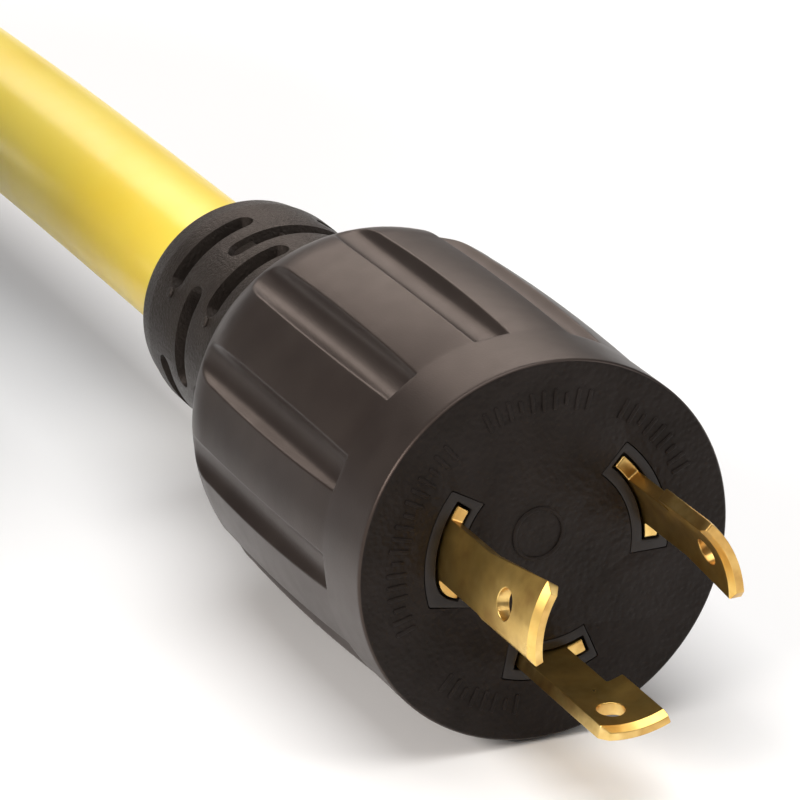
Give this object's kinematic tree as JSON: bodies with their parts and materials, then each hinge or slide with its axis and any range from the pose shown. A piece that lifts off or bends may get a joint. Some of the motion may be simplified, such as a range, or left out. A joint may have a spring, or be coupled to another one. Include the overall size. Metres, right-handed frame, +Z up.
{
  "type": "shore power cord",
  "caption": "Moulded twist-lock shore power cord: heavy jacketed cable with slotted strain reliefs, a plug with curved locking blades at one end, a matching slotted connector at the other.",
  "frame": {"origin": "under the middle of the plug, on the surface that it lies on: the middle of the plug's box from strain relief to blade tips", "axes": "+X along the plug's axis, the way its blades point; +Z up; +Y to the left of someone who looks along +X"},
  "size_m": [0.3564, 0.3209, 0.1314],
  "materials": {
    "grip_rubber": "satin",
    "relief_rubber": "textured satin",
    "insert_plastic": "smooth satin",
    "inner_plastic": "matte",
    "brass": "dull, lightly tarnished",
    "copper": "bare drawn copper",
    "cord_jacket": "smooth satin thermoplastic",
    "core_neutral": "satin",
    "core_hot": "satin",
    "core_ground": "satin",
    "filler_paper": "twisted paper filler",
    "tie_fabric": "woven hook-and-loop strap"
  },
  "bodies": {
    "root": {"plug_body": "grip_rubber", "plug_blade_bridge": "insert_plastic", "plug_blade_neutral": "brass", "plug_blade_hot": "brass", "plug_blade_ground": "brass", "plug_inner_mould": "inner_plastic", "plug_strain_relief": "relief_rubber", "plug_jacket_end": "cord_jacket", "plug_filler": "filler_paper", "plug_insulation_neutral": "core_neutral", "plug_insulation_hot": "core_hot", "plug_insulation_ground": "core_ground", "plug_copper_neutral": "copper", "plug_copper_hot": "copper", "plug_copper_ground": "copper", "connector_body": "grip_rubber", "connector_contact_bridge": "insert_plastic", "connector_contact_neutral": "brass", "connector_contact_hot": "brass", "connector_contact_ground": "brass", "connector_inner_mould": "inner_plastic", "connector_strain_relief": "relief_rubber", "connector_jacket_end": "cord_jacket", "connector_filler": "filler_paper", "connector_insulation_neutral": "core_neutral", "connector_insulation_hot": "core_hot", "connector_insulation_ground": "core_ground", "connector_copper_neutral": "copper", "connector_copper_hot": "copper", "connector_copper_ground": "copper", "cord_lead": "cord_jacket", "cord_coil": "cord_jacket", "cord_tail": "cord_jacket", "coil_ties": "tie_fabric"}
  },
  "joints": []
}
